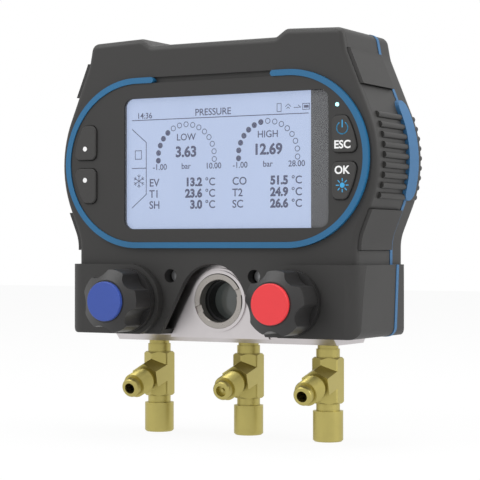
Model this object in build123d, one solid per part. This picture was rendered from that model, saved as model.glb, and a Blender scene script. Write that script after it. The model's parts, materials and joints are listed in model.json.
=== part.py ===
from build123d import *
from math import acos, atan, atan2, cos, degrees, pi, radians, sin, sqrt, tan
import os

# Two-valve digital refrigerant manifold gauge.  Millimetres; X to the right as seen from the
# front, the front faces -Y, +Z up.  The origin is on the floor, under the middle of the part.

os.makedirs("parts", exist_ok=True)

# ------------------------------------------------------------------ clearances
fit_gap = 0.05          # running fit of a shaft in its bore, radial
seat_gap = 0.1          # a piece dropped into its pocket
loose_gap = 0.3         # pieces that move past each other

# ------------------------------------------------------------------ depth stations (along Y)
body_front_y = -18.0    # front wall of the housing
trim_front_y = -20.2    # coloured loop round the display panel
panel_front_y = -19.6   # display panel inside the loop
pad_front_y = -22.7     # raised pads behind the two valve knobs
parting_y = 24.0        # middle of the band between the two shells
body_back_y = 42.0      # rear wall of the housing
plateau_back_y = 46.6   # raised battery plateau on the rear wall
block_front_y = -7.8
block_back_y = 32.0
wall = 2.6

# ------------------------------------------------------------------ fittings, from the floor up
cap_height = 16.3
cap_radius = 8.1
cap_floor = 3.0
stub_tip_z = 4.6        # lower flare stub of a tee, inside its cap
hex_bottom_z = 20.3
hex_top_z = 44.8
collar_height = 4.5
neck_height = 2.9
hex_flats = 15.2        # across flats
flare_radius = 6.35     # 5/16 in SAE flare, 1/2-20 UNF major diameter
flare_pitch = 1.27
passage_radius = 3.0
arm_axis_z = 34.2       # where the arm's axis crosses the vertical one
arm_drop = 15.0         # degrees below level
arm_hex_end = 15.5
arm_relief = 1.5
arm_thread_length = 10.5
arm_nose_length = 4.5
arm_nose_radius = 5.3
side_port_x = 53.0
side_port_y = 14.7
middle_port_y = 22.9

# ------------------------------------------------------------------ housing outline (front view)
block_bottom_z = hex_top_z + collar_height + neck_height
housing_base_z = block_bottom_z + 4.2
knob_z = 74.6
knob_x = 50.0
pad_radius = 19.7
shelf_z = knob_z + pad_radius
base_half_width = 89.3  # at the shelf
base_draft = 1.5        # the base is this much narrower at the bottom, each side
base_front_corner = 9.0
base_rear_corner = 12.0
base_bottom_corner = 5.0
waist_x = 85.4
waist_z = 108.0
grip_corner_x = 102.3   # where the two slanted side lines would meet
grip_corner_z = 149.2
grip_radius = 65.0
shoulder_x = 79.4
shoulder_z = 204.5
shoulder_top_x = 77.2
shoulder_top_z = 216.3
crown_x = 44.0
crown_z = 217.5
notch_x = 38.0
notch_z = 213.4
front_edge_round = 3.2
rear_edge_round = 6.0

# ------------------------------------------------------------------ display panel
panel_z = 149.4         # centre height of the stadium loop
loop_half_straight = 46.4
loop_radius = 44.8      # centreline of the coloured loop
loop_width = 3.2
loop_gap_left = -37.0
loop_gap_right = 38.0
panel_seat_y = body_front_y + 1.4
screen_left = -54.1
screen_right = 70.0
screen_bottom = 113.5
screen_top = 184.5
screen_corner = 5.0
window_thickness = 1.5
window_set_back = 0.7
lcd_margin = 1.2
lcd_thickness = 4.4
board_thickness = 1.6
board_half_width = 76.0
board_low_z = 104.0
board_high_z = 203.0

# ------------------------------------------------------------------ keys
key_inner_x = 72.4
key_outer_radius = 40.3
key_upper_low_z = 151.7
key_upper_high_z = 170.6
key_lower_low_z = 127.7
key_lower_high_z = 147.0
key_corner = 3.4
key_stand = 1.4         # proud of the panel
key_flange = 0.9
key_travel = 1.0
light_x = 75.1
light_z = 176.4
light_radius = 1.0

# ------------------------------------------------------------------ valves
knob_radius = 17.0
knob_flange_radius = 17.3
knob_flange_depth = 3.0
knob_lobes = 5
flute_radius = 8.0
flute_depth = 3.2
knob_back_y = pad_front_y - 0.4
knob_rim_y = -40.5
knob_crown_y = -44.4
knob_cap_radius = 10.55
knob_cap_front_y = -46.6
knob_cap_depth = 4.2
low_lobe_angle = 76.0
high_lobe_angle = 87.0
stem_radius = 4.0
bonnet_radius = 9.0
bonnet_back_y = -6.4
bonnet_front_y = -20.0
piston_radius = 7.9
piston_front_y = -1.5
piston_back_y = 16.0
valve_travel = 4.5

# ------------------------------------------------------------------ sight glass
boss_radius = 16.4
boss_front_y = -10.8
ring_front_y = -11.3
ring_outer_radius = 14.8
ring_inner_radius = 11.35
ring_length = 6.0
spanner_slot_width = 4.0
spanner_slot_depth = 1.6
spanner_slot_angle = 21.0
sleeve_radius = 13.0
sleeve_step_y = -3.3
sleeve_bore_radius = 10.25
glass_front_y = 3.7
glass_thickness = 4.0
glass_seal_thickness = 1.6
arch_radius = 17.9      # cut-out of the housing round the boss
arch_half_base = 30.0
arch_flare = 12.0       # degrees, the cut-out opens towards the front

# ------------------------------------------------------------------ inside and rear
block_half_width = 67.4
block_top_z = 94.0
lock_x = 25.7
lock_z = 88.0
lock_hole_radius = 3.7
lock_head_radius = 3.1
lock_shank_radius = 2.2
sensor_x = 44.0
sensor_radius = 8.5
sensor_height = 15.0
band_width = 3.0
band_proud = 0.3
grip_low_z = 128.0
grip_high_z = 181.0
grip_half_depth = 6.0
grip_recess = 1.4
rib_count = 9
rib_pitch = 5.17
rib_first_z = 130.0
rib_stand = 1.7
rib_front_y = -11.0
flap_thickness = 2.6
flap_stand = 1.6
flap_front_y = -16.0
flap_upper_low_z = 187.0
flap_upper_high_z = 205.5
flap_lower_low_z = 102.0
flap_lower_high_z = 122.8
screw_low_x = 77.2
screw_low_z = 74.0
screw_high_x = 67.0
screw_high_z = 206.5
screw_radius = 1.5
screw_head_radius = 2.9
post_radius = 4.4
plateau_half_width = 60.0
plateau_low_z = 70.0
plateau_high_z = 171.0
cell_radius = 7.1
cell_length = 50.5
cell_count = 4
cell_pitch = 14.8
cell_centre_z = 132.0
cover_thickness = 2.4
hook_axis_z = 205.5
hook_axis_y = 44.35
hook_thickness = 3.9
hook_ring_outer = 14.0
hook_ring_inner = 9.0
hook_barrel_half = 11.0
hook_pin_radius = 1.2
hook_ear_width = 3.0
hook_ear_radius = 2.2
plateau_corner = 12.0
plateau_bevel = 3.0
bay_margin = 1.5
cover_margin = 7.0
cover_corner = 4.0
cover_screw_z = 132.0
rear_rib_back_y = 35.0
screw_head_depth = 2.4
dish_width = 0.7
key_bevel = 0.5
key_flange_reach = 1.2
switch_x = 79.0
switch_radius = 2.6
block_bevel = 3.5
boss_step_y = -9.8
gallery_y = 22.9
tee_stub_radius = 4.8
tee_stub_length = 8.0
neck_radius = 5.6
valve_bore_end_y = 17.0
lock_tip_y = 8.0
lock_head_height = 4.0
chamber_radius = 8.0
valve_port_radius = 2.0
sensor_stub_radius = 4.5
flute_round = 1.2
hex_corner_cut = 0.9
core_length = 9.0
core_set_back = 2.5
hook_drop = 17.5
hook_shank_width = 8.0
hook_mouth_angle = 200.0
hook_mouth = 8.0
board_corner = 8.0
board_screw_head = 1.8
board_post_x = 66.0
board_post_low_z = 108.5
board_post_high_z = 196.0
board_post_radius = 3.0
lock_boss_radius = 5.4
screw_grip = 14.0       # how far a housing screw bites into the front shell

# ------------------------------------------------------------------ derived stations
lcd_width = screen_right - screen_left + 2 * lcd_margin
lcd_height = screen_top - screen_bottom + 2 * lcd_margin
screen_centre_x = (screen_left + screen_right) / 2
screen_centre_z = (screen_bottom + screen_top) / 2
window_front_y = panel_front_y + window_set_back
window_back_y = window_front_y + window_thickness
lcd_front_y = panel_seat_y + seat_gap
lcd_back_y = lcd_front_y + lcd_thickness
board_front_y = lcd_back_y + seat_gap
board_back_y = board_front_y + board_thickness
shell_inner_y = body_front_y + wall
front_band_y = parting_y - band_width / 2
rear_band_y = parting_y + band_width / 2
rear_inner_y = body_back_y - wall
cell_y = plateau_back_y - cover_thickness - cell_radius - seat_gap
bay_half_width = cell_count * cell_pitch / 2
bay_low_z = cell_centre_z - cell_length / 2 - bay_margin
bay_high_z = cell_centre_z + cell_length / 2 + bay_margin
cover_screw_x = bay_half_width + cover_margin / 2
screw_seat_y = body_back_y - screw_head_depth
knob_seat_y = knob_cap_front_y + knob_cap_depth
arm_direction = (0, -cos(radians(arm_drop)), -sin(radians(arm_drop)))
arm_thread_start = arm_hex_end + arm_relief
arm_end = arm_thread_start + arm_thread_length + arm_nose_length
board_posts = [(side * board_post_x, z) for side in (-1, 1) for z in (board_post_low_z, board_post_high_z)]
screw_places = [
    (side * x, z) for x, z in ((screw_low_x, screw_low_z), (screw_high_x, screw_high_z)) for side in (-1, 1)
]


# ================================================================== helpers
def prism(sketch, y_low, y_high, taper=0.0):
    """Extrude a front-view sketch (X, Z) forwards from y_high to y_low."""
    plane = Plane.XZ.offset(-y_high)
    return extrude(plane * sketch, amount=y_high - y_low, taper=taper)


def box_between(low, high):
    """A box given by its lowest and highest corner."""
    size = [b - a for a, b in zip(low, high)]
    middle = [(a + b) / 2 for a, b in zip(low, high)]
    return Pos(*middle) * Box(*size)


def drum(x, z, radius, y_low, y_high):
    """A cylinder along Y."""
    return prism(Pos(x, z) * Circle(radius), y_low, y_high)


def post(x, y, radius, z_low, z_high):
    """A cylinder along Z."""
    return Pos(x, y, (z_low + z_high) / 2) * Cylinder(radius, z_high - z_low)


def hexagon(flats, turn):
    """A hexagon across flats, with a corner on its own X axis when turn is 0."""
    return RegularPolygon(flats / 2, 6, major_radius=False, rotation=turn)


def both(shape):
    """A shape and its mirror image across the middle plane."""
    return [shape, mirror(shape, about=Plane.YZ)]


written = {}


def save(name, shape, expected=1):
    """Write a node, as one solid or as the stated group of solids."""
    solids = shape.solids()
    if len(solids) != expected:
        print(f"{name}: {len(solids)} solids where {expected} were meant")
    out = solids[0] if len(solids) == 1 else Compound(children=list(solids))
    out.label = name
    export_step(out, f"parts/{name}.step")
    written[name] = out


# ================================================================== outlines
side_slope_low = (grip_corner_x - waist_x) / (grip_corner_z - waist_z)
side_slope_high = (shoulder_x - grip_corner_x) / (shoulder_z - grip_corner_z)


def grip_centre():
    """Centre of the large arc that rounds the widest part of the side."""
    low_lean = cos(atan(side_slope_low))
    high_lean = cos(atan(side_slope_high))
    rise = grip_radius / low_lean - grip_radius / high_lean
    z = grip_corner_z + rise / (side_slope_low - side_slope_high)
    x = grip_corner_x + side_slope_low * (z - grip_corner_z) - grip_radius / low_lean
    return x, z


def side_x(z):
    """Half width of the housing at a height between the waist and the shoulder."""
    centre_x, centre_z = grip_centre()
    arc_low = centre_z - grip_radius * sin(atan(side_slope_low))
    arc_high = centre_z - grip_radius * sin(atan(side_slope_high))
    if z < arc_low:
        return max(waist_x, waist_x + side_slope_low * (z - waist_z))
    if z > arc_high:
        return grip_corner_x + side_slope_high * (z - grip_corner_z)
    return centre_x + sqrt(grip_radius**2 - (z - centre_z) ** 2)


def body_outline():
    """Front view of the housing, without the wider base."""
    points = [
        (0, housing_base_z),
        (waist_x, housing_base_z),
        (waist_x, waist_z),
        (grip_corner_x, grip_corner_z),
        (shoulder_x, shoulder_z),
        (shoulder_top_x, shoulder_top_z),
        (crown_x, crown_z),
        (notch_x, notch_z),
        (0, notch_z),
    ]
    radii = [4.0, 24.0, grip_radius, 18.0, 4.5, 5.0, 3.0]
    right = FilletPolyline(*points, radius=radii)
    left = mirror(right, about=Plane.YZ)
    return make_face(right.edges() + left.edges())


def stadium(radius, half_straight=loop_half_straight):
    """A stadium about the centre of the display panel."""
    return Pos(0, panel_z) * SlotCenterToCenter(2 * half_straight, 2 * radius)


def arch(radius, half_base):
    """The cut-out round the sight glass: a circle with two straight flanks down to the base."""
    reach = sqrt(half_base**2 + (knob_z - housing_base_z) ** 2)
    foot_angle = atan2(housing_base_z - knob_z, half_base)
    touch_angle = foot_angle + acos(radius / reach)
    touch_x = radius * cos(touch_angle)
    touch_z = knob_z + radius * sin(touch_angle)
    below = housing_base_z - 10
    spread = (half_base - touch_x) / (touch_z - housing_base_z) * 10
    flanks = Polygon(
        (-half_base - spread, below),
        (half_base + spread, below),
        (touch_x, touch_z),
        (-touch_x, touch_z),
        align=None,
    )
    return flanks + Pos(0, knob_z) * Circle(radius)


def key_outline(z_low, z_high, side, grow=0.0):
    """A key: straight inside edge, outside edge concentric with the loop's end."""
    disc = Pos(side * loop_half_straight, panel_z) * Circle(key_outer_radius + grow)
    reach = key_outer_radius + loop_half_straight + 10
    width = reach - key_inner_x + grow
    height = z_high - z_low + 2 * grow
    middle_x = side * (key_inner_x - grow + width / 2)
    strip = Pos(middle_x, (z_low + z_high) / 2) * Rectangle(width, height)
    shape = disc & strip
    return fillet(shape.vertices(), key_corner)


body_face = body_outline()
inner_face = offset(body_face, amount=-wall, kind=Kind.INTERSECTION)

keys = {
    "upper_left_key": (key_upper_low_z, key_upper_high_z, -1),
    "lower_left_key": (key_lower_low_z, key_lower_high_z, -1),
    "upper_right_key": (key_upper_low_z, key_upper_high_z, 1),
    "lower_right_key": (key_lower_low_z, key_lower_high_z, 1),
}
flaps = {
    "upper_left_flap": (flap_upper_low_z, flap_upper_high_z, -1),
    "lower_left_flap": (flap_lower_low_z, flap_lower_high_z, -1),
    "upper_right_flap": (flap_upper_low_z, flap_upper_high_z, 1),
    "lower_right_flap": (flap_lower_low_z, flap_lower_high_z, 1),
}


# ================================================================== housing
def base_block(inset=0.0):
    """The wider base under the shelf, with large vertical corners and drafted sides."""
    depth = body_back_y - pad_front_y - 2 * inset
    middle_y = (body_back_y + pad_front_y) / 2
    plan = Pos(0, middle_y) * Rectangle(2 * (base_half_width - inset), depth)
    front = plan.vertices().sort_by(Axis.Y)[:2]
    plan = fillet(front, base_front_corner - inset)
    rear = plan.vertices().sort_by(Axis.Y)[-2:]
    plan = fillet(rear, base_rear_corner - inset)
    low_z = housing_base_z + inset
    high_z = shelf_z - inset
    foot = base_half_width - base_draft - inset
    head = base_half_width - inset
    view = Polygon((-foot, low_z), (foot, low_z), (head, high_z), (-head, high_z), align=None)
    view = fillet(view.vertices().sort_by(Axis.Y)[:2], base_bottom_corner - inset)
    block = extrude(Pos(0, 0, low_z) * plan, amount=high_z - low_z)
    return block & prism(view, pad_front_y - 1, body_back_y + 1)


def outer_body():
    """The whole housing as one solid, before it is hollowed and parted."""
    body = prism(body_face, body_front_y, body_back_y)
    front_edges = body.faces().sort_by(Axis.Y)[0].outer_wire().edges()
    front_edges = front_edges.filter_by(lambda e: e.center().Z > shelf_z)
    body = fillet(front_edges, front_edge_round)
    rear_edges = body.faces().sort_by(Axis.Y)[-1].outer_wire().edges()
    rear_edges = rear_edges.filter_by(lambda e: e.center().Z > shelf_z)
    body = fillet(rear_edges, rear_edge_round)
    base = base_block()
    gap_low = housing_base_z - 1
    gap = Pos(0, (gap_low + shelf_z + 1) / 2) * Rectangle(2 * knob_x, shelf_z + 1 - gap_low)
    for side in (-1, 1):
        gap -= Pos(side * knob_x, knob_z) * Circle(pad_radius)
    base -= prism(gap, pad_front_y - 1, body_front_y)
    return body + base


def flap_band(z_low, z_high, side, grow):
    """Space of a flap: a plate that follows the side of the housing."""
    outer = offset(body_face, amount=flap_stand, kind=Kind.INTERSECTION)
    inner = offset(body_face, amount=flap_stand - flap_thickness - grow, kind=Kind.INTERSECTION)
    reach = 2 * grip_corner_x
    strip_z = (z_low + z_high) / 2
    strip = Pos(side * reach / 2, strip_z) * Rectangle(reach, z_high - z_low + 2 * grow)
    return prism((outer - inner) & strip, flap_front_y - grow, front_band_y - loose_gap + grow)


def screw_posts(y_low, y_high, radius):
    """Cylinders along Y at the four housing screws."""
    return Part() + [drum(x, z, radius, y_low, y_high) for x, z in screw_places]


def ribs(y_low, y_high):
    """Grip ribs on both sides between two depths."""
    shapes = []
    for index in range(rib_count):
        z = rib_first_z + index * rib_pitch
        sketch = Pos(side_x(z), z) * Circle(rib_stand)
        shapes += both(prism(sketch, y_low, y_high))
    return Part() + shapes


housing = outer_body()
hollow = prism(inner_face, body_front_y + wall, body_back_y - wall)
hollow += base_block(wall) & box_between(
    (-200, body_front_y + wall, housing_base_z + wall), (200, body_back_y - wall, shelf_z - wall)
)
block_space = box_between(
    (-block_half_width - loose_gap, block_front_y - loose_gap, block_bottom_z - 1),
    (block_half_width + loose_gap, block_back_y + loose_gap, block_top_z + loose_gap),
)
front_half = box_between((-200, -200, 0), (200, front_band_y, 300))
rear_half = box_between((-200, rear_band_y, 0), (200, 200, 300))


# ---- front shell
def front_shell():
    """Front half of the housing with the panel seat, key and window openings and valve holes."""
    shell = (housing - hollow) & front_half
    shell -= prism(stadium(loop_radius + loop_width / 2 + seat_gap), panel_front_y - 5, panel_seat_y)
    window = Pos(screen_centre_x, screen_centre_z)
    opening = window * Rectangle(lcd_width + 2 * seat_gap, lcd_height + 2 * seat_gap)
    shell -= prism(opening, body_front_y - 5, body_front_y + wall + 1)
    for z_low, z_high, side in keys.values():
        hole = key_outline(z_low, z_high, side, loose_gap)
        shell -= prism(hole, body_front_y - 5, body_front_y + wall + 1)
    shell -= drum(light_x, light_z, light_radius + seat_gap, body_front_y - 5, body_front_y + wall + 1)
    posts = screw_posts(shell_inner_y, front_band_y, post_radius)
    for side in (-1, 1):
        posts += drum(side * lock_x, lock_z, lock_boss_radius, body_front_y + wall, block_front_y)
    for x, z in board_posts:
        posts += drum(x, z, board_post_radius, body_front_y + wall, board_front_y)
    shell += posts & prism(body_face, body_front_y + wall / 2, front_band_y)
    for side in (-1, 1):
        shell -= drum(side * knob_x, knob_z, bonnet_radius + seat_gap, pad_front_y - 1, block_front_y)
        shell -= drum(side * lock_x, lock_z, lock_hole_radius, body_front_y - 5, block_front_y + 1)
    shell -= prism(arch(arch_radius, arch_half_base), body_front_y, block_front_y + 1, 0)
    shell -= prism(arch(arch_radius, arch_half_base), body_front_y - 8, block_front_y, -arch_flare)
    shell -= block_space
    shell -= screw_posts(front_band_y - screw_grip, front_band_y + 1, screw_radius + fit_gap)
    for x, z in board_posts:
        shell -= drum(x, z, screw_radius + fit_gap, shell_inner_y, board_front_y + 1)
    for z_low, z_high, side in flaps.values():
        shell -= flap_band(z_low, z_high, side, loose_gap)
    shell += ribs(rib_front_y, front_band_y) - prism(inner_face, rib_front_y - 1, front_band_y + 1)
    shell -= grip_pads(seat_gap)
    return shell


def grip_pads(grow=0.0):
    """The widened parts of the coloured band, one on each side."""
    outer = offset(body_face, amount=band_proud + rib_stand, kind=Kind.INTERSECTION)
    inner = offset(body_face, amount=-grip_recess - grow, kind=Kind.INTERSECTION)
    depth = 2 * (grip_half_depth + grow)
    height = grip_high_z - grip_low_z + 2 * grow
    middle = (grip_low_z + grip_high_z) / 2
    shapes = []
    for side in (-1, 1):
        strip = Pos(side * waist_x * 1.5, middle) * Rectangle(waist_x * 2, height)
        pad = prism((outer - inner) & strip, parting_y - depth / 2, parting_y + depth / 2)
        window = Pos(parting_y, middle) * Rectangle(depth, height)
        window = fillet(window.vertices(), grip_half_depth * 0.9)
        reach = extrude(Plane.YZ * window, amount=2 * waist_x, both=True)
        shapes.append(pad & reach)
    return Part() + shapes


def rear_shell():
    """Rear half of the housing with the battery bay, screw posts and the hook's ears."""
    shell = (housing - hollow) & rear_half
    plateau = Pos(0, (plateau_low_z + plateau_high_z) / 2)
    plateau *= Rectangle(2 * plateau_half_width, plateau_high_z - plateau_low_z)
    plateau = fillet(plateau.vertices(), plateau_corner)
    raised = prism(plateau, body_back_y, plateau_back_y)
    raised = chamfer(raised.faces().sort_by(Axis.Y)[-1].edges(), plateau_bevel)
    shell += raised
    bay_outer = box_between(
        (-bay_half_width - wall, cell_y - cell_radius - wall, bay_low_z - wall),
        (bay_half_width + wall, body_back_y, bay_high_z + wall),
    )
    bay = box_between(
        (-bay_half_width, cell_y - cell_radius - seat_gap, bay_low_z),
        (bay_half_width, plateau_back_y + 1, bay_high_z),
    )
    shell += bay_outer
    shell -= bay
    shell -= prism(cover_outline(seat_gap), plateau_back_y - cover_thickness, plateau_back_y + 1)
    posts = screw_posts(rear_band_y, rear_inner_y + 1, post_radius)
    shell += posts & prism(body_face, rear_band_y, body_back_y)
    shell += ribs(rear_band_y, rear_rib_back_y) - prism(inner_face, rear_band_y - 1, body_back_y)
    shell -= block_space
    shell -= screw_posts(rear_band_y - 1, body_back_y + 1, screw_radius + seat_gap)
    shell -= screw_posts(screw_seat_y, body_back_y + 1, screw_head_radius + seat_gap)
    for side in (-1, 1):
        shell -= drum(side * cover_screw_x, cover_screw_z, screw_radius, cell_y, plateau_back_y)
    shell -= grip_pads(seat_gap)
    for side in (-1, 1):
        x_low = side * (hook_barrel_half + loose_gap)
        x_high = x_low + side * hook_ear_width
        ear = box_between(
            (min(x_low, x_high), body_back_y - wall, hook_axis_z - hook_ear_radius),
            (max(x_low, x_high), hook_axis_y, hook_axis_z + hook_ear_radius),
        )
        tip = Pos((x_low + x_high) / 2, hook_axis_y, hook_axis_z)
        ear += tip * Rot(0, 90, 0) * Cylinder(hook_ear_radius, hook_ear_width)
        ear -= tip * Rot(0, 90, 0) * Cylinder(hook_pin_radius, hook_ear_width * 2)
        shell += ear
    return shell


def cover_outline(grow=0.0):
    """Front view of the battery cover."""
    width = 2 * (bay_half_width + cover_margin + grow)
    height = bay_high_z - bay_low_z + 2 * (cover_margin + grow)
    plate = Pos(0, (bay_low_z + bay_high_z) / 2) * Rectangle(width, height)
    return fillet(plate.vertices(), cover_corner + grow)


save("front_housing", front_shell())
save("rear_housing", rear_shell())

# ---- coloured band between the shells, with its grip pads
band_outer = offset(body_face, amount=band_proud, kind=Kind.INTERSECTION)
band_inner = offset(body_face, amount=-wall, kind=Kind.INTERSECTION)
band_strip = prism(band_outer - band_inner, front_band_y, rear_band_y)
above_shelf = box_between((-200, -200, shelf_z), (200, 200, 300))
base_ring = base_block(-band_proud) - base_block(wall)
base_ring &= box_between((-200, front_band_y, housing_base_z - band_proud), (200, rear_band_y, shelf_z))
base_ring -= prism(inner_face, front_band_y, rear_band_y)
seal_band = (band_strip & above_shelf) + base_ring + grip_pads()
seal_band -= prism(inner_face, -100, 100)
seal_band -= block_space
save("seal_band", seal_band)

# ---- display panel, its loop, the window, the display and the board behind it
panel_outline = stadium(loop_radius - loop_width / 2)
panel = prism(panel_outline, panel_front_y, panel_seat_y)
screen = Pos(screen_centre_x, screen_centre_z)
screen_sketch = screen * RectangleRounded(screen_right - screen_left, screen_top - screen_bottom, screen_corner)
panel -= prism(offset(screen_sketch, amount=seat_gap), panel_front_y - 1, panel_seat_y + 1)
lip = prism(offset(screen_sketch, amount=dish_width), panel_front_y, panel_front_y + window_set_back, 45)
panel -= lip
for z_low, z_high, side in keys.values():
    panel -= prism(key_outline(z_low, z_high, side, loose_gap), panel_front_y - 1, panel_seat_y + 1)
panel -= drum(light_x, light_z, light_radius + fit_gap, panel_front_y - 1, panel_seat_y + 1)
save("display_panel", panel)

loop_ring = stadium(loop_radius + loop_width / 2) - stadium(loop_radius - loop_width / 2 + fit_gap)
loop_middle = (loop_gap_left + loop_gap_right) / 2
loop_top_z = panel_z + loop_radius
loop_gap = Pos(loop_middle, loop_top_z) * Rectangle(loop_gap_right - loop_gap_left, 2 * loop_width)
loop_ring -= loop_gap
for x in (loop_gap_left, loop_gap_right):
    loop_ring += Pos(x, loop_top_z) * Circle((loop_width - fit_gap) / 2 - 0.01)
save("trim_loop", prism(loop_ring, trim_front_y, panel_seat_y))

window = prism(screen_sketch, window_front_y, window_back_y)
save("display_window", window)
lcd = prism(screen * Rectangle(lcd_width, lcd_height), lcd_front_y, lcd_back_y)
save("display_module", lcd)

board_sketch = Pos(0, (board_low_z + board_high_z) / 2)
board_sketch *= Rectangle(2 * board_half_width, board_high_z - board_low_z)
board_sketch = fillet(board_sketch.vertices(), board_corner)
board_sketch -= Sketch() + [Pos(x, z) * Circle(screw_radius + seat_gap) for x, z in board_posts]
for x, z in screw_places:
    board_sketch -= Pos(x, z) * Circle(post_radius + 1)
save("main_board", prism(board_sketch, board_front_y, board_back_y))
board_screws = Part()
for x, z in board_posts:
    board_screws += drum(x, z, screw_head_radius, board_back_y, board_back_y + board_screw_head)
    board_screws += drum(x, z, screw_radius, shell_inner_y + fit_gap, board_back_y)
save("board_screws", board_screws, len(board_posts))

# ---- keys, their switches and the status light
for name, (z_low, z_high, side) in keys.items():
    cap = prism(key_outline(z_low, z_high, side), panel_front_y - key_stand, shell_inner_y + seat_gap)
    cap = chamfer(cap.faces().sort_by(Axis.Y)[0].edges(), key_bevel)
    flange = key_outline(z_low, z_high, side, key_flange_reach)
    cap += prism(flange, shell_inner_y + seat_gap, shell_inner_y + seat_gap + key_flange)
    save(name, cap)
switches = Part()
switch_front_y = shell_inner_y + seat_gap + key_flange + key_travel + seat_gap
for z_low, z_high, side in keys.values():
    switches += drum(side * switch_x, (z_low + z_high) / 2, switch_radius, switch_front_y, board_front_y)
save("key_switches", switches, len(keys))
save("status_light", drum(light_x, light_z, light_radius, panel_front_y - 0.2, board_front_y))

# ---- manifold block with its two valve bores, sight glass bore, ports and gallery
block = box_between(
    (-block_half_width, block_front_y, block_bottom_z), (block_half_width, block_back_y, block_top_z)
)
block = chamfer(block.edges().filter_by(Axis.X).sort_by(Axis.Z)[:2], block_bevel)
raised = prism(arch(arch_radius - loose_gap, arch_half_base - loose_gap), boss_step_y, block_front_y)
block += raised & box_between((-200, -100, housing_base_z - block_bevel / 2), (200, 0, 300))
block += drum(0, knob_z, boss_radius, boss_front_y, block_front_y)
ring_seat_y = ring_front_y + ring_length
glass_back_y = glass_front_y + glass_thickness
chamber_y = glass_back_y + glass_seal_thickness
block -= drum(0, knob_z, ring_outer_radius + fit_gap, boss_front_y - 1, ring_seat_y)
block -= drum(0, knob_z, sleeve_radius + fit_gap, boss_front_y - 1, chamber_y)
block -= drum(0, knob_z, chamber_radius, chamber_y - 1, gallery_y)
gallery = Pos(0, gallery_y, knob_z) * Rot(0, 90, 0) * Cylinder(passage_radius, 2 * block_half_width + 2)
block -= gallery
ports = {
    "low_side": (-side_port_x, side_port_y),
    "middle": (0.0, middle_port_y),
    "high_side": (side_port_x, side_port_y),
}
for x, y in ports.values():
    block -= post(x, y, tee_stub_radius + fit_gap, block_bottom_z - 1, block_bottom_z + tee_stub_length + 1)
    block -= post(x, y, passage_radius, block_bottom_z, knob_z)
for side in (-1, 1):
    block -= drum(side * knob_x, knob_z, bonnet_radius + fit_gap, block_front_y - 1, bonnet_back_y)
    block -= drum(side * knob_x, knob_z, piston_radius + fit_gap, block_front_y - 1, valve_bore_end_y)
    block -= drum(side * knob_x, knob_z, valve_port_radius, valve_bore_end_y - 1, gallery_y)
    block -= drum(side * lock_x, lock_z, lock_shank_radius + fit_gap, block_front_y - 1, lock_tip_y)
    sensor_hole = post(side * sensor_x, gallery_y, sensor_stub_radius + fit_gap, block_top_z - 9, block_top_z + 1)
    block -= sensor_hole
    block -= post(side * sensor_x, gallery_y, passage_radius / 2, knob_z, block_top_z)
save("manifold_block", block)
plug_length = 6.0
plugs = Part()
for side in (-1, 1):
    place = Pos(side * (block_half_width - plug_length / 2), gallery_y, knob_z)
    plugs += place * Rot(0, 90, 0) * Cylinder(passage_radius - fit_gap / 2, plug_length)
save("gallery_plugs", plugs, 2)

# ---- sight glass, from the front: slotted ring, sleeve, glass, seal
ring = drum(0, knob_z, ring_outer_radius, ring_front_y, ring_seat_y)
ring -= drum(0, knob_z, ring_inner_radius, ring_front_y - 1, ring_seat_y + 1)
ring = chamfer(ring.faces().sort_by(Axis.Y)[0].edges(), 0.4)
slot = Rot(0, 0, spanner_slot_angle) * Rectangle(3 * ring_outer_radius, spanner_slot_width)
ring -= prism(Pos(0, knob_z) * slot, ring_front_y - 1, ring_front_y + spanner_slot_depth)
save("sight_glass_ring", ring)
sleeve = drum(0, knob_z, sleeve_radius, ring_seat_y, glass_front_y)
sleeve -= drum(0, knob_z, ring_inner_radius, ring_seat_y - 1, sleeve_step_y)
sleeve -= drum(0, knob_z, sleeve_bore_radius, ring_seat_y - 1, glass_front_y + 1)
save("sight_glass_sleeve", sleeve)
save("sight_glass", drum(0, knob_z, sleeve_radius, glass_front_y, glass_back_y))
seal = drum(0, knob_z, sleeve_radius, glass_back_y, chamber_y)
seal -= drum(0, knob_z, sleeve_bore_radius, glass_back_y - 1, chamber_y + 1)
save("sight_glass_seal", seal)

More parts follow.
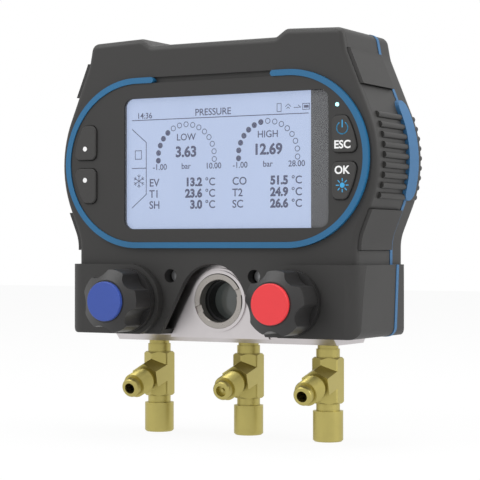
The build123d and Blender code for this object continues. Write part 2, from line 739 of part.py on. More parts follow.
# ---- valves: knob, coloured cap and stem turn together; the piston only slides
for name, side, lobe_angle in (("low_side", -1, low_lobe_angle), ("high_side", 1, high_lobe_angle)):
    axis = Pos(side * knob_x, knob_z)
    grip = Circle(knob_radius)
    for index in range(knob_lobes):
        angle = lobe_angle + (index + 0.5) * 360 / knob_lobes
        reach = knob_radius - flute_depth + flute_radius
        grip -= Rot(0, 0, angle) * Pos(reach, 0) * Circle(flute_radius)
    grip = fillet(grip.vertices(), flute_round)
    knob = prism(axis * grip, knob_crown_y, knob_back_y - 0.5)
    crown = Polygon(
        (0, knob_back_y),
        (knob_flange_radius, knob_back_y),
        (knob_flange_radius, knob_rim_y),
        (knob_cap_radius + 1.0, knob_crown_y),
        (0, knob_crown_y),
        align=None,
    )
    crown = revolve(Plane.XY * crown, Axis.Y)
    knob &= Pos(side * knob_x, 0, knob_z) * crown
    knob += drum(side * knob_x, knob_z, knob_flange_radius, knob_back_y - knob_flange_depth, knob_back_y)
    knob -= drum(side * knob_x, knob_z, knob_cap_radius + fit_gap, knob_seat_y, knob_crown_y - 1)
    knob -= drum(side * knob_x, knob_z, knob_cap_radius + fit_gap, knob_crown_y - 1, knob_seat_y)
    knob -= drum(side * knob_x, knob_z, stem_radius, knob_seat_y - 1, knob_back_y + 1)
    knob -= drum(side * knob_x, knob_z, bonnet_radius + loose_gap, bonnet_front_y - valve_travel, knob_back_y + 1)
    save(f"{name}_knob", knob)
    cap = drum(side * knob_x, knob_z, knob_cap_radius, knob_cap_front_y, knob_seat_y)
    cap = fillet(cap.faces().sort_by(Axis.Y)[0].edges(), 0.5)
    save(f"{name}_knob_cap", cap)
    save(f"{name}_stem", drum(side * knob_x, knob_z, stem_radius, knob_seat_y, piston_front_y))
    save(f"{name}_piston", drum(side * knob_x, knob_z, piston_radius, piston_front_y, piston_back_y))
    bonnet = drum(side * knob_x, knob_z, bonnet_radius, bonnet_front_y, bonnet_back_y)
    bonnet -= drum(side * knob_x, knob_z, stem_radius + fit_gap, bonnet_front_y - 1, bonnet_back_y + 1)
    save(f"{name}_bonnet", bonnet)

# ---- tee fittings, their caps and cap seals
for name, (x, y) in ports.items():
    arm = Plane(origin=(x, y, arm_axis_z), x_dir=(1, 0, 0), z_dir=arm_direction)
    upright = Pos(x, y, hex_bottom_z) * extrude(hexagon(hex_flats, 30), amount=hex_top_z - hex_bottom_z)
    ends = post(x, y, hex_flats / 2 + hex_corner_cut, hex_bottom_z, hex_top_z)
    upright &= chamfer(ends.edges(), hex_corner_cut)
    tee = upright + post(x, y, flare_radius, hex_top_z, hex_top_z + collar_height)
    tee += post(x, y, neck_radius, hex_top_z, block_bottom_z)
    tee += post(x, y, tee_stub_radius, block_bottom_z, block_bottom_z + tee_stub_length)
    tee += post(x, y, flare_radius, stub_tip_z, hex_bottom_z)
    tee += arm * extrude(hexagon(hex_flats, 30), amount=arm_hex_end)
    tee += arm * extrude(Circle(flare_radius - 0.6), amount=arm_thread_start)
    tee += arm * Pos(0, 0, arm_thread_start) * extrude(Circle(flare_radius), amount=arm_thread_length)
    nose = extrude(Circle(arm_nose_radius), amount=arm_nose_length)
    nose = fillet(nose.edges().sort_by(Axis.Z)[-1], 1.4)
    tee += arm * Pos(0, 0, arm_thread_start + arm_thread_length) * nose
    tee -= arm * extrude(Circle(passage_radius), amount=arm_end + 1)
    tee -= post(x, y, passage_radius, stub_tip_z - 1, block_bottom_z + tee_stub_length + 1)
    save(f"{name}_tee", tee)
    cap = post(x, y, cap_radius, 0, cap_height)
    cap = chamfer(cap.edges().sort_by(Axis.Z)[0], 0.8)
    cap -= post(x, y, flare_radius + fit_gap, cap_floor, cap_height + 1)
    save(f"{name}_port_cap", cap)
    seal = post(x, y, flare_radius - seat_gap, cap_floor, stub_tip_z - fit_gap)
    save(f"{name}_cap_seal", seal)
core_place = Plane(origin=(0, middle_port_y, arm_axis_z), x_dir=(1, 0, 0), z_dir=arm_direction)
core = Pos(0, 0, arm_end - core_length - core_set_back) * extrude(Circle(passage_radius - fit_gap), amount=core_length)
core += Pos(0, 0, arm_end - core_set_back) * extrude(Circle(0.9), amount=1.0)
save("valve_core", core_place * core)

# ---- pressure sensors on the block, lock screws in the front shell
for name, side in (("low_side", -1), ("high_side", 1)):
    x = side * sensor_x
    sensor = post(x, gallery_y, sensor_radius, block_top_z, block_top_z + sensor_height)
    sensor = chamfer(sensor.edges().sort_by(Axis.Z)[-1], 1.0)
    sensor += post(x, gallery_y, sensor_stub_radius, block_top_z - 8, block_top_z)
    save(f"{name}_pressure_sensor", sensor)
locks = Part()
for side in (-1, 1):
    lock = drum(side * lock_x, lock_z, lock_head_radius, block_front_y - lock_head_height, block_front_y)
    lock += drum(side * lock_x, lock_z, lock_shank_radius, block_front_y, lock_tip_y - 0.5)
    locks += lock
save("lock_screws", locks, 2)

# ---- rubber flaps over the sockets, and the sockets behind them
for name, (z_low, z_high, side) in flaps.items():
    flap = flap_band(z_low, z_high, side, 0.0)
    save(name, flap)

# ---- battery bay: cells, contacts, cover and its screws
cells = Part()
for index in range(cell_count):
    x = (index - (cell_count - 1) / 2) * cell_pitch
    cells += post(x, cell_y, cell_radius, cell_centre_z - cell_length / 2, cell_centre_z + cell_length / 2)
save("battery_cells", cells, cell_count)
contacts = Part()
for low, high in ((bay_low_z, bay_low_z + bay_margin), (bay_high_z - bay_margin, bay_high_z)):
    contacts += box_between(
        (-bay_half_width + 1, cell_y - 5, low + fit_gap), (bay_half_width - 1, cell_y + 5, high - fit_gap)
    )
save("battery_contacts", contacts, 2)
cover = prism(cover_outline(), plateau_back_y - cover_thickness, plateau_back_y)
for side in (-1, 1):
    cover -= drum(side * cover_screw_x, cover_screw_z, screw_radius + seat_gap, 0, plateau_back_y + 1)
    head_seat_y = plateau_back_y - cover_thickness / 2
    cover -= drum(side * cover_screw_x, cover_screw_z, screw_head_radius + seat_gap, head_seat_y, 99)
save("battery_cover", cover)
cover_screws = Part()
for side in (-1, 1):
    cover_screws += drum(side * cover_screw_x, cover_screw_z, screw_head_radius, head_seat_y, plateau_back_y - 0.1)
    cover_screws += drum(side * cover_screw_x, cover_screw_z, screw_radius - fit_gap, head_seat_y - 8, head_seat_y)
save("cover_screws", cover_screws, 2)

# ---- housing screws
housing_screws = Part()
for x, z in screw_places:
    housing_screws += drum(x, z, screw_head_radius, screw_seat_y, body_back_y - 0.2)
    housing_screws += drum(x, z, screw_radius, front_band_y - screw_grip + 1, screw_seat_y)
save("housing_screws", housing_screws, len(screw_places))

# ---- hanging hook, stowed flat against the rear wall
ring_z = hook_axis_z - hook_drop
hook_plate = Pos(0, ring_z) * Circle(hook_ring_outer)
hook_plate += Pos(0, (ring_z + hook_axis_z) / 2) * Rectangle(hook_shank_width, hook_axis_z - ring_z)
hook_plate -= Pos(0, ring_z) * Circle(hook_ring_inner)
mouth = Rot(0, 0, hook_mouth_angle) * Pos(hook_ring_outer, 0) * Rectangle(2 * hook_ring_outer, hook_mouth)
hook_plate -= (Pos(0, ring_z) * mouth)
hook = prism(hook_plate, hook_axis_y - hook_thickness / 2, hook_axis_y + hook_thickness / 2)
barrel = Pos(0, hook_axis_y, hook_axis_z) * Rot(0, 90, 0) * Cylinder(hook_thickness / 2, 2 * hook_barrel_half)
hook += barrel
hook -= Pos(0, hook_axis_y, hook_axis_z) * Rot(0, 90, 0) * Cylinder(hook_pin_radius + fit_gap, 60)
save("hanging_hook", hook)
pin_half = hook_barrel_half + loose_gap + hook_ear_width
pin = Pos(0, hook_axis_y, hook_axis_z) * Rot(0, 90, 0) * Cylinder(hook_pin_radius, 2 * pin_half)
save("hook_pin", pin)

print(len(written), "nodes")
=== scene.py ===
import json
import math

import bpy
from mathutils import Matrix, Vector


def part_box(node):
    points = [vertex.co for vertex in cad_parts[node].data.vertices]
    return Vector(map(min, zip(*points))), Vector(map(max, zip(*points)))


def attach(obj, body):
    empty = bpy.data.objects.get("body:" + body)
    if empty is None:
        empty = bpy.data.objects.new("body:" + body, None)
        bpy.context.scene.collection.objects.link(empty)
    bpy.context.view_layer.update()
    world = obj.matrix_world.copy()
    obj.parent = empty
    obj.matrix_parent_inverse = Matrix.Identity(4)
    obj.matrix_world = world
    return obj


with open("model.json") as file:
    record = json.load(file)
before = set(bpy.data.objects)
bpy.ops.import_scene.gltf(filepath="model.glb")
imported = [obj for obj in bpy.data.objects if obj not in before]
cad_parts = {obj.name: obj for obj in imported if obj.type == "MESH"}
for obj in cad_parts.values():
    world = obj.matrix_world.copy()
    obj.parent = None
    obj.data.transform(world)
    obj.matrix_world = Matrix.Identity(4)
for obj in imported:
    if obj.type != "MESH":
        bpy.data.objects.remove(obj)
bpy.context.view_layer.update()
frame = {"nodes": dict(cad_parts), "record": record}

MM = 0.001

# ---------------------------------------------------------------- shader maths


class Value:
    """A number that varies over a surface. Arithmetic on it adds Math nodes."""

    def __init__(self, finish, socket):
        self.finish = finish
        self.socket = socket

    def calc(self, operation, *others):
        node = self.finish.node("ShaderNodeMath", {"operation": operation})
        for index, term in enumerate((self,) + others):
            self.finish.feed(node.inputs[index], term)
        return Value(self.finish, node.outputs[0])

    def flipped(self, operation, other):
        node = self.finish.node("ShaderNodeMath", {"operation": operation})
        self.finish.feed(node.inputs[0], other)
        self.finish.feed(node.inputs[1], self)
        return Value(self.finish, node.outputs[0])

    def __add__(self, other):
        return self.calc("ADD", other)

    def __sub__(self, other):
        return self.calc("SUBTRACT", other)

    def __mul__(self, other):
        return self.calc("MULTIPLY", other)

    def __radd__(self, other):
        return self.flipped("ADD", other)

    def __rsub__(self, other):
        return self.flipped("SUBTRACT", other)

    def __rmul__(self, other):
        return self.flipped("MULTIPLY", other)

    def clamped(self, low=0.0, high=1.0):
        return self.calc("MAXIMUM", low).calc("MINIMUM", high)


class Finish:
    """One material, built round a Principled shader."""

    def __init__(self, name, colour, roughness, **fixed):
        self.material = bpy.data.materials.new(name)
        self.material.use_nodes = True
        self.tree = self.material.node_tree
        self.shader = self.tree.nodes["Principled BSDF"]
        self.shader.inputs["Base Color"].default_value = (*colour, 1.0)
        self.shader.inputs["Roughness"].default_value = roughness
        for socket, amount in fixed.items():
            self.shader.inputs[socket.replace("_", " ")].default_value = amount
        self.place = self.node("ShaderNodeTexCoord").outputs["Object"]

    def feed(self, socket, term):
        """Give a socket a number, a colour or a link."""
        if isinstance(term, Value):
            self.tree.links.new(term.socket, socket)
        elif isinstance(term, bpy.types.NodeSocket):
            self.tree.links.new(term, socket)
        elif isinstance(term, tuple) and socket.type == "RGBA" and len(term) == 3:
            socket.default_value = (*term, 1.0)
        else:
            socket.default_value = term

    def node(self, kind, settings=None, inputs=None):
        """Add a node: its settings first, then the values or links of its sockets."""
        node = self.tree.nodes.new(kind)
        for name, setting in (settings or {}).items():
            setattr(node, name, setting)
        for name, term in (inputs or {}).items():
            self.feed(node.inputs[name], term)
        return node

    def noise(self, scale, detail=3.0, stretch=(1, 1, 1)):
        """Noise from 0 to 1, with a scale in features per metre."""
        place = self.node("ShaderNodeMapping", None, {"Vector": self.place, "Scale": stretch})
        inputs = {"Vector": place.outputs[0], "Scale": scale, "Detail": detail}
        node = self.node("ShaderNodeTexNoise", None, inputs)
        return Value(self, node.outputs["Fac"])

    def blend(self, amount, first, second):
        """Mix two colours."""
        node = self.node("ShaderNodeMix", {"data_type": "RGBA"}, {"Factor": amount})
        self.feed(node.inputs[6], first)
        self.feed(node.inputs[7], second)
        return node.outputs[2]

    def bump(self, height, depth, strength):
        """Bump from a height, with a depth in metres."""
        node = self.node("ShaderNodeBump", None, {"Strength": strength, "Distance": depth})
        self.feed(node.inputs["Height"], height)
        return node.outputs[0]

    def set(self, socket, term):
        self.feed(self.shader.inputs[socket], term)


def srgb(red, green, blue):
    """A screen colour from 0 to 255 as linear light."""
    channels = []
    for level in (red, green, blue):
        share = level / 255
        channels.append(share / 12.92 if share <= 0.04045 else ((share + 0.055) / 1.055) ** 2.4)
    return tuple(channels)


def tint(colour, amount):
    return tuple(min(1.0, channel * amount) for channel in colour)


# ---------------------------------------------------------------- finishes


def moulded(name, colour, roughness, grain=2600, depth=0.00005):
    """Moulded plastic or rubber: fine spark-eroded grain and faint handling marks."""
    finish = Finish(name, colour, roughness)
    grain_noise = finish.noise(grain, 2.0)
    patch = finish.noise(22, 4.0)
    finish.set("Base Color", finish.blend(patch, tint(colour, 0.88), tint(colour, 1.12)))
    finish.set("Roughness", (patch * 0.14 + (roughness - 0.07)).clamped(0.1, 0.95))
    finish.set("Normal", finish.bump(grain_noise, depth, 0.5))
    return finish


tool_mark_scale = 900
tool_mark_depth = 0.000012


def machined(name, colour, roughness, stretch):
    """Machined metal: fine tool marks drawn out along one direction, and slight tarnish."""
    finish = Finish(name, colour, roughness, Metallic=1.0)
    marks = finish.noise(tool_mark_scale, 3.0, stretch)
    tarnish = finish.noise(70, 5.0)
    finish.set("Base Color", finish.blend(tarnish, tint(colour, 0.84), tint(colour, 1.1)))
    wear = marks * 0.16 + tarnish * 0.1 + (roughness - 0.13)
    finish.set("Roughness", wear.clamped(0.08, 0.9))
    finish.set("Normal", finish.bump(marks, tool_mark_depth, 0.4))
    return finish


def printed(name, colour):
    """Printed ink with a slightly uneven gloss."""
    finish = Finish(name, colour, 0.6)
    finish.set("Roughness", (finish.noise(900, 2.0) * 0.2 + 0.5).clamped())
    return finish


housing_plastic = moulded("housing_plastic", srgb(42, 41, 40), 0.55)
panel_plastic = moulded("panel_plastic", srgb(39, 38, 37), 0.5, grain=3600, depth=0.00003)
knob_plastic = moulded("knob_plastic", srgb(38, 37, 37), 0.45, grain=2200)
key_rubber = moulded("key_rubber", srgb(52, 51, 50), 0.6, grain=3200)
flap_rubber = moulded("flap_rubber", srgb(41, 40, 39), 0.6, grain=2800)
black_rubber = moulded("black_rubber", srgb(30, 30, 31), 0.6)
band_rubber = moulded("band_rubber", srgb(48, 102, 146), 0.55, grain=2400)
loop_plastic = moulded("loop_plastic", srgb(28, 100, 144), 0.42, grain=3000, depth=0.00002)
cap_blue = moulded("cap_blue", srgb(50, 77, 160), 0.5, grain=1800, depth=0.00003)
cap_red = moulded("cap_red", srgb(234, 56, 62), 0.5, grain=1800, depth=0.00003)
brass = machined("brass", srgb(184, 172, 104), 0.42, (0.2, 0.2, 5))
aluminium = machined("aluminium", srgb(206, 201, 202), 0.34, (6, 6, 0.4))
ring_aluminium = machined("ring_aluminium", srgb(166, 161, 156), 0.3, (2, 2, 2))
steel = machined("steel", srgb(175, 176, 178), 0.35, (1, 1, 6))
bright_white = printed("legend_white", srgb(245, 245, 245))
legend_blue = printed("legend_blue", srgb(62, 168, 222))
board_green = moulded("board_green", srgb(20, 80, 45), 0.4)
cell_jacket = moulded("cell_jacket", srgb(40, 44, 52), 0.35)


def display_glow():
    """The lit display: a pale blue field, a little brighter in broad upright bands."""
    colour = srgb(180, 197, 231)
    finish = Finish("display_glow", tint(colour, 0.25), 0.5)
    band = finish.noise(30, 1.0, (1, 1, 0.15))
    shade = finish.blend(band, tint(colour, 0.93), tint(colour, 1.06))
    finish.set("Emission Color", shade)
    finish.shader.inputs["Emission Strength"].default_value = 0.68
    return finish


def display_ink():
    """Dark navy segments of the display."""
    colour = srgb(34, 44, 92)
    finish = Finish("display_ink", tint(colour, 0.5), 0.6)
    fade = finish.noise(500, 2.0)
    finish.set("Emission Color", finish.blend(fade, tint(colour, 0.9), tint(colour, 1.15)))
    finish.shader.inputs["Emission Strength"].default_value = 0.35
    return finish


def window_glass():
    """Clear window: mostly see-through, with the gloss of glass."""
    finish = Finish("window_glass", (0.9, 0.93, 1.0), 0.06, Alpha=0.06)
    haze = finish.noise(60, 3.0)
    finish.set("Roughness", (haze * 0.06 + 0.04).clamped())
    finish.material.surface_render_method = "BLENDED"
    return finish


def sight_glass_finish():
    """Grey-green sight glass, read as a solid glossy lens."""
    colour = srgb(96, 102, 100)
    finish = Finish("sight_glass_lens", colour, 0.12, Coat_Weight=0.6)
    cloud = finish.noise(90, 3.0)
    finish.set("Base Color", finish.blend(cloud, tint(colour, 0.8), tint(colour, 1.2)))
    finish.set("Roughness", (cloud * 0.1 + 0.08).clamped())
    return finish


def light_finish():
    """Lit cyan light pipe with a white-hot middle."""
    finish = Finish("status_glow", srgb(90, 220, 235), 0.3)
    spark = finish.noise(400, 1.0)
    finish.set("Emission Color", finish.blend(spark, srgb(120, 235, 250), srgb(225, 255, 255)))
    finish.shader.inputs["Emission Strength"].default_value = 1.6
    return finish


lcd_glow = display_glow()
lcd_ink = display_ink()
clear_window = window_glass()
lens_glass = sight_glass_finish()
status_glow = light_finish()

node_finish = {
    "front_housing": housing_plastic,
    "rear_housing": housing_plastic,
    "seal_band": band_rubber,
    "display_panel": panel_plastic,
    "trim_loop": loop_plastic,
    "display_window": clear_window,
    "display_module": board_green,
    "main_board": board_green,
    "manifold_block": aluminium,
    "sight_glass_ring": ring_aluminium,
    "sight_glass_sleeve": black_rubber,
    "sight_glass": lens_glass,
    "sight_glass_seal": black_rubber,
    "status_light": status_glow,
    "battery_cells": cell_jacket,
    "battery_cover": housing_plastic,
}
slot_finish = {
    "housing": housing_plastic,
    "key_rubber": key_rubber,
    "knob_plastic": knob_plastic,
    "cap_blue": cap_blue,
    "cap_red": cap_red,
    "brass": brass,
    "steel": steel,
    "black_rubber": flap_rubber,
}
slot_of = {entry["node"]: entry["material_slot"] for entry in frame["record"]["subparts"]}
for node_name, node_object in frame["nodes"].items():
    finish = node_finish.get(node_name) or slot_finish[slot_of[node_name]]
    node_object.data.materials.clear()
    node_object.data.materials.append(finish.material)


# ---------------------------------------------------------------- modelling helpers


def clear_selection():
    bpy.ops.object.select_all(action="DESELECT")


def only(piece):
    clear_selection()
    piece.select_set(True)
    bpy.context.view_layer.objects.active = piece


def settle(piece):
    """Put the place, turn and size of a piece into its mesh."""
    only(piece)
    bpy.ops.object.transform_apply(location=True, rotation=True, scale=True)


def finish_piece(piece, name, finish, body, angle=35):
    """Name, paint and mount a piece on its body."""
    piece.name = name
    piece.data.name = name
    piece.data.materials.clear()
    piece.data.materials.append(finish.material)
    settle(piece)
    only(piece)
    bpy.ops.object.shade_smooth_by_angle(angle=math.radians(angle))
    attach(piece, body)
    return piece


def joined(parts):
    """Join objects into the first of them."""
    clear_selection()
    for part in parts:
        part.select_set(True)
    bpy.context.view_layer.objects.active = parts[0]
    if len(parts) > 1:
        bpy.ops.object.join()
    return parts[0]


front_text_turn = (math.radians(90), 0, 0)
cap_height_share = 0.72  # height of a capital letter over the size of the text
stroke_overlap = 0.7     # how far strokes run on past their ends, in widths


def lettering(text, x, z, y, height, bold, align="CENTER"):
    """Flat letters facing the front, made a mesh. Sizes are in millimetres."""
    clear_selection()
    bpy.ops.object.text_add(location=(x * MM, y * MM, z * MM), rotation=front_text_turn)
    label = bpy.context.object
    label.data.body = text
    label.data.size = height * MM / cap_height_share
    label.data.align_x = align
    label.data.align_y = "CENTER"
    label.data.offset = bold * MM
    label.data.resolution_u = 4
    only(label)
    bpy.ops.object.convert(target="MESH")
    return bpy.context.object


def tile(x, z, y, width, height):
    """A flat rectangle facing the front."""
    clear_selection()
    bpy.ops.mesh.primitive_plane_add(
        size=1, location=(x * MM, y * MM, z * MM), rotation=front_text_turn
    )
    piece = bpy.context.object
    piece.scale = (width * MM, height * MM, 1)
    settle(piece)
    return piece


def stroke(points, y, width):
    """A line of straight strokes, as one flat mesh facing the front."""
    parts = []
    for (x0, z0), (x1, z1) in zip(points, points[1:]):
        length = math.hypot(x1 - x0, z1 - z0)
        piece = tile(0, 0, 0, length + width * stroke_overlap, width)
        piece.rotation_euler = (0, -math.atan2(z1 - z0, x1 - x0), 0)
        piece.location = ((x0 + x1) / 2 * MM, y * MM, (z0 + z1) / 2 * MM)
        settle(piece)
        parts.append(piece)
    return joined(parts)


def disc(x, z, y, radius, sides=20, hole=0.0):
    """A flat disc, or a flat ring if it has a hole."""
    clear_selection()
    bpy.ops.mesh.primitive_circle_add(
        vertices=sides,
        radius=radius * MM,
        fill_type="NGON",
        location=(x * MM, y * MM, z * MM),
        rotation=front_text_turn,
    )
    piece = bpy.context.object
    if hole:
        bpy.ops.object.mode_set(mode="EDIT")
        bpy.ops.mesh.select_all(action="SELECT")
        bpy.ops.mesh.inset(thickness=(radius - hole) * MM)
        bpy.ops.mesh.delete(type="FACE")
        bpy.ops.object.mode_set(mode="OBJECT")
    settle(piece)
    return piece


# ---------------------------------------------------------------- display face
window_low, window_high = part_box("display_window")
screen_left = window_low.x / MM
screen_right = window_high.x / MM
screen_bottom = window_low.z / MM
screen_top = window_high.z / MM
lit_right = 59.0  # the lit area ends here, and a dark border fills the rest of the window
face_thickness = 0.6
face_gap = 0.05   # from the back of the window to the lit face
ink_stand = 0.03  # from the lit face to the graphics
face_overlap = 0.1
face_y = window_high.y / MM + face_gap
ink_y = face_y - ink_stand


def screen_slab(left, right, height):
    """A thin slab just behind the window, from one X to another."""
    middle_z = (screen_bottom + screen_top) / 2
    slab = tile((left + right) / 2, middle_z, face_y, right - left, height)
    only(slab)
    bpy.ops.object.mode_set(mode="EDIT")
    bpy.ops.mesh.select_all(action="SELECT")
    bpy.ops.mesh.extrude_region_move(
        TRANSFORM_OT_translate={"value": (0, face_thickness * MM, 0)}
    )
    bpy.ops.mesh.select_all(action="SELECT")
    bpy.ops.mesh.normals_make_consistent(inside=False)
    bpy.ops.object.mode_set(mode="OBJECT")
    return slab


screen_height = screen_top - screen_bottom
face = screen_slab(screen_left, lit_right, screen_height + face_overlap)
finish_piece(face, "display_face", lcd_glow, "root")
border = screen_slab(lit_right, screen_right, screen_height)
finish_piece(border, "display_border", panel_plastic, "root")

# ---------------------------------------------------------------- display graphics
rule_width = 0.45
icon_width = 0.4
fine_width = 0.35
small_text = 3.2
title_text = 3.7
reading_text = 5.6
row_text = 4.2
row_reading_text = 4.4
plain_weight = 0.06
row_weight = 0.08
heavy_weight = 0.3

ink = []


def draw(points, width):
    ink.append(stroke(points, ink_y, width))


def write(text, x, z, height, weight, align="CENTER"):
    ink.append(lettering(text, x, z, ink_y, height, weight, align))


# the header rule, and the two page tabs at the left
header_z = 172.8
header_right = 57.5
tab_left = -50.6
tab_x = -41.5
tab_middle_z = 146.6
draw([(tab_left, header_z), (header_right, header_z)], rule_width)
draw([(tab_left, 168.0), (tab_x, 160.6), (tab_x, 132.3), (tab_left, 125.0)], rule_width)
draw([(tab_left, tab_middle_z), (tab_x, tab_middle_z)], rule_width)

# the two dials: middle, dots filled, name, reading and the ends of the range
dials = (
    (-16.2, 5, "LOW", "3.63", "-1.00", "10.00"),
    (33.7, 7, "HIGH", "12.69", "-1.00", "28.00"),
)
dial_z = 152.0
dial_radius = 17.6
dial_dots = 15
dial_start = -5.0  # degrees above the level through the middle
dial_sweep = 180 - 2 * dial_start
dot_radius = 1.55
dot_line = 0.4
name_z = 162.6
reading_z = 154.6
unit_z = 147.0
range_z = 146.8
range_left = 16.6
range_right = 17.0
for centre_x, filled, name, reading, low_end, high_end in dials:
    for index in range(dial_dots):
        angle = math.radians(180 - dial_start - index * dial_sweep / (dial_dots - 1))
        x = centre_x + dial_radius * math.cos(angle)
        z = dial_z + dial_radius * math.sin(angle)
        hole = 0.0 if index < filled else dot_radius - dot_line
        ink.append(disc(x, z, ink_y, dot_radius, 18, hole))
    write(name, centre_x, name_z, title_text, plain_weight)
    write(reading, centre_x, reading_z, reading_text, heavy_weight)
    write("bar", centre_x, unit_z, small_text, plain_weight)
    write(low_end, centre_x - range_left, range_z, small_text, plain_weight)
    write(high_end, centre_x + range_right, range_z, small_text, plain_weight)

# the table of temperatures: two columns of three rows
column_starts = (-39.6, 12.3)
reading_step = 33.4
degree_step = 35.2
table_rows = (
    (138.3, ("EV", "13.2"), ("CO", "51.5")),
    (132.2, ("T1", "23.6"), ("T2", "24.9")),
    (126.2, ("SH", "3.0"), ("SC", "26.6")),
)
for z, *cells in table_rows:
    for start_x, (name, reading) in zip(column_starts, cells):
        write(name, start_x, z, row_text, row_weight, "LEFT")
        write(reading, start_x + reading_step, z, row_reading_text, heavy_weight, "RIGHT")
        write("°C", start_x + degree_step, z, row_text, row_weight, "LEFT")

# the header: clock and title
clock_x, clock_z = -42.6, 175.0
title_x, title_z = 0.5, 175.6
write("14:36", clock_x, clock_z, small_text, plain_weight)
write("PRESSURE", title_x, title_z, title_text, plain_weight)

# valve-cycle icon: an open square
loop_left, loop_right, loop_low, loop_high = -48.6, -44.6, 151.6, 156.2
draw([(loop_left, loop_low), (loop_left, loop_high), (loop_right, loop_high)], icon_width)
draw([(loop_right, loop_high), (loop_right, loop_low), (loop_left, loop_low)], icon_width)

# frost icon: six arms with small branches
frost_x = -46.2
frost_z = 139.6
frost_reach = 3.6
frost_knee = 0.6 * frost_reach
twig_reach = 1.3
twig_turn = 0.8
for arm in range(6):
    angle = math.radians(30 + 60 * arm)
    across, up = math.cos(angle), math.sin(angle)
    tip = (frost_x + frost_reach * across, frost_z + frost_reach * up)
    draw([(frost_x, frost_z), tip], icon_width)
    knee = (frost_x + frost_knee * across, frost_z + frost_knee * up)
    for turn in (-twig_turn, twig_turn):
        twig_x = knee[0] + twig_reach * math.cos(angle + turn)
        twig_z = knee[1] + twig_reach * math.sin(angle + turn)
        draw([knee, (twig_x, twig_z)], fine_width)

# status icons: handset, radio waves, plug and battery
handset = ((39.2, 174.2), (39.2, 178.4), (41.6, 178.4), (41.6, 174.2), (39.2, 174.2))
outer_wave = ((44.1, 176.6), (45.7, 178.0), (47.3, 176.6))
inner_wave = ((44.9, 175.6), (45.7, 176.4), (46.5, 175.6))
plug = ((49.2, 176.0), (53.0, 176.0), (51.6, 177.2))
battery = ((54.2, 174.8), (54.2, 177.8), (58.2, 177.8), (58.2, 174.8), (54.2, 174.8))
for icon in (handset, outer_wave, inner_wave, plug, battery):
    draw(icon, fine_width)
battery_charge = ((55.4, 176.3), (57.2, 176.3))
charge_width = 1.4
draw(battery_charge, charge_width)
finish_piece(joined(ink), "display_graphics", lcd_ink, "root")

# ---------------------------------------------------------------- key legends
key_low, key_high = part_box("upper_right_key")
legend_y = key_low.y / MM - ink_stand
legend_text = 4.1
legend_weight = 0.16
right_x = 78.6
left_x = -79.4
escape_z = 155.6
ok_x = right_x - 0.2
ok_z = 142.6


def legend(parts, name, finish, body):
    return finish_piece(joined(parts), name, finish, body)


def word(text, x, z):
    return lettering(text, x, z, legend_y, legend_text, legend_weight)


legend([word("ESC", right_x, escape_z)], "esc_legend", bright_white, "upper_right_key")
legend([word("OK", ok_x, ok_z)], "ok_legend", bright_white, "lower_right_key")

# power sign: an open ring with an upright bar
power_z = 164.2
power_radius = 3.1
power_opening = 70  # degrees left open at the top
power_line = 0.55
power_bar_line = 0.6
arc_steps = 22
arc_points = []
for step in range(arc_steps + 1):
    turned = 90 + power_opening / 2 + step * (360 - power_opening) / arc_steps
    angle = math.radians(turned)
    x = right_x + power_radius * math.cos(angle)
    z = power_z + power_radius * math.sin(angle)
    arc_points.append((x, z))
power_bar = [(right_x, power_z + 0.4), (right_x, power_z + 3.9)]
power_parts = [
    stroke(arc_points, legend_y, power_line),
    stroke(power_bar, legend_y, power_bar_line),
]
legend(power_parts, "power_legend", legend_blue, "upper_right_key")

# backlight sign: a disc with eight rays
sun_z = 135.0
sun_rays = 8
ray_start = 2.1
ray_end = 3.4
ray_line = 0.5
mark_radius = 1.35
sun_parts = [disc(right_x, sun_z, legend_y, mark_radius, 20)]
for ray in range(sun_rays):
    angle = math.radians(360 / sun_rays * ray)
    across, up = math.cos(angle), math.sin(angle)
    inner = (right_x + ray_start * across, sun_z + ray_start * up)
    outer = (right_x + ray_end * across, sun_z + ray_end * up)
    sun_parts.append(stroke([inner, outer], legend_y, ray_line))
legend(sun_parts, "sun_legend", legend_blue, "lower_right_key")

left_marks = (
    ("upper_dot", "upper_left_key", 157.9),
    ("lower_dot", "lower_left_key", 140.6),
)
for name, body, z in left_marks:
    legend([disc(left_x, z, legend_y, mark_radius, 24)], name, bright_white, body)

# ---------------------------------------------------------------- flare threads
arm_z = 34.2
arm_dip = math.radians(15)
thread_start = 17.9  # from the tee's upright axis, along the arm
thread_pitch = 1.27
thread_ridges = 8
thread_radius = 6.3
ridge_depth = 0.5


def port_thread(name, x, y):
    """The ridges of the flare thread, round the port's arm."""
    ridges = []
    for index in range(thread_ridges):
        reach = thread_start + index * thread_pitch
        place = (x, y - reach * math.cos(arm_dip), arm_z - reach * math.sin(arm_dip))
        clear_selection()
        bpy.ops.mesh.primitive_torus_add(
            major_radius=thread_radius * MM,
            minor_radius=ridge_depth * MM,
            major_segments=40,
            minor_segments=4,
            location=[value * MM for value in place],
            rotation=(math.pi / 2 + arm_dip, 0, 0),
        )
        ridge = bpy.context.object
        settle(ridge)
        ridges.append(ridge)
    return finish_piece(joined(ridges), name, brass, "root", angle=20)


for side in ("low_side", "middle", "high_side"):
    cap_low, cap_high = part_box(side + "_port_cap")
    port = (cap_low + cap_high) / 2 / MM
    port_thread(side + "_thread", port.x, port.y)

# ---------------------------------------------------------------- studio


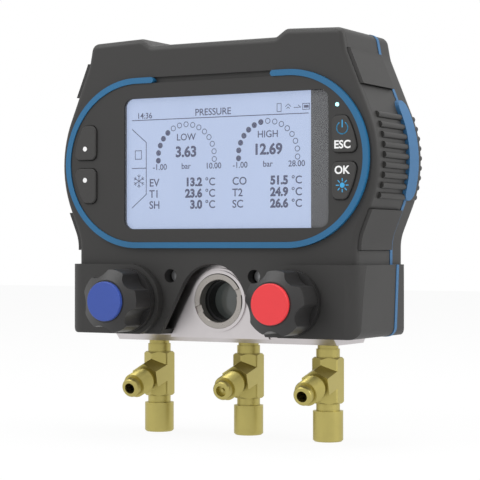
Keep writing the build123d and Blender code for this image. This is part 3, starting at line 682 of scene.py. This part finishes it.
def seen_share(tree, share, rest):
    """A socket that is share + rest for camera and mirror rays, and rest for others."""
    rays = tree.nodes.new("ShaderNodeLightPath")
    seen = tree.nodes.new("ShaderNodeMath")
    seen.operation = "MAXIMUM"
    tree.links.new(rays.outputs["Is Camera Ray"], seen.inputs[0])
    tree.links.new(rays.outputs["Is Glossy Ray"], seen.inputs[1])
    level = tree.nodes.new("ShaderNodeMath")
    level.operation = "MULTIPLY_ADD"
    tree.links.new(seen.outputs[0], level.inputs[0])
    level.inputs[1].default_value = share
    level.inputs[2].default_value = rest
    return level.outputs[0]


def floor_material():
    """Pale floor that reads as white to the camera and keeps a soft shadow."""
    material = bpy.data.materials.new("studio_floor")
    material.use_nodes = True
    tree = material.node_tree
    tree.nodes.clear()
    out = tree.nodes.new("ShaderNodeOutputMaterial")
    diffuse = tree.nodes.new("ShaderNodeBsdfDiffuse")
    diffuse.inputs["Color"].default_value = (0.86, 0.86, 0.86, 1)
    glow = tree.nodes.new("ShaderNodeEmission")
    glow.inputs["Color"].default_value = (1, 1, 1, 1)
    glow.inputs["Strength"].default_value = 1.0
    mix = tree.nodes.new("ShaderNodeMixShader")
    tree.links.new(seen_share(tree, 0.93, 0.0), mix.inputs[0])
    tree.links.new(diffuse.outputs[0], mix.inputs[1])
    tree.links.new(glow.outputs[0], mix.inputs[2])
    tree.links.new(mix.outputs[0], out.inputs[0])
    return material


floor_size = 6.0
floor_z = -0.0003
clear_selection()
bpy.ops.mesh.primitive_plane_add(size=floor_size, location=(0, 0, floor_z))
floor = bpy.context.object
floor.name = "studio_floor"
floor.data.materials.append(floor_material())

world = bpy.data.worlds.new("studio_air")
bpy.context.scene.world = world
world.use_nodes = True
background = world.node_tree.nodes["Background"]
background.inputs["Color"].default_value = (1, 1, 1, 1)
world.node_tree.links.new(seen_share(world.node_tree, 0.5, 0.5), background.inputs["Strength"])

lamp_target = Vector((0, 0, 0.11))
lamps = (
    ("key_light", (-0.7, -0.9, 1.2), (0.9, 0.9), 10),
    ("top_light", (0.1, 0.1, 1.3), (1.0, 0.8), 8),
    ("side_light", (1.1, 0.1, 0.7), (0.6, 0.9), 6),
)
for name, place, size, power in lamps:
    lamp_data = bpy.data.lights.new(name, "AREA")
    lamp_data.shape = "RECTANGLE"
    lamp_data.size, lamp_data.size_y = size
    lamp_data.energy = power
    lamp = bpy.data.objects.new(name, lamp_data)
    bpy.context.scene.collection.objects.link(lamp)
    lamp.location = place
    aim = lamp_target - Vector(place)
    lamp.rotation_euler = aim.to_track_quat("-Z", "Y").to_euler()

camera_place = Vector((0.4488, -0.7899, 0.1029))
camera_yaw = 29.2
camera_pitch = 0.284
lens_pixels = 1676.0   # focal length, in pixels of a square frame
frame_pixels = 480.0   # width of that frame
camera_data = bpy.data.cameras.new("camera")
camera_data.sensor_width = 36.0
camera_data.lens = lens_pixels / frame_pixels * camera_data.sensor_width
camera_data.clip_start = 0.01
camera = bpy.data.objects.new("camera", camera_data)
bpy.context.scene.collection.objects.link(camera)
camera.location = camera_place
camera.rotation_euler = (math.radians(90 + camera_pitch), 0, math.radians(camera_yaw))
bpy.context.scene.camera = camera
bpy.context.scene.view_settings.view_transform = "Standard"
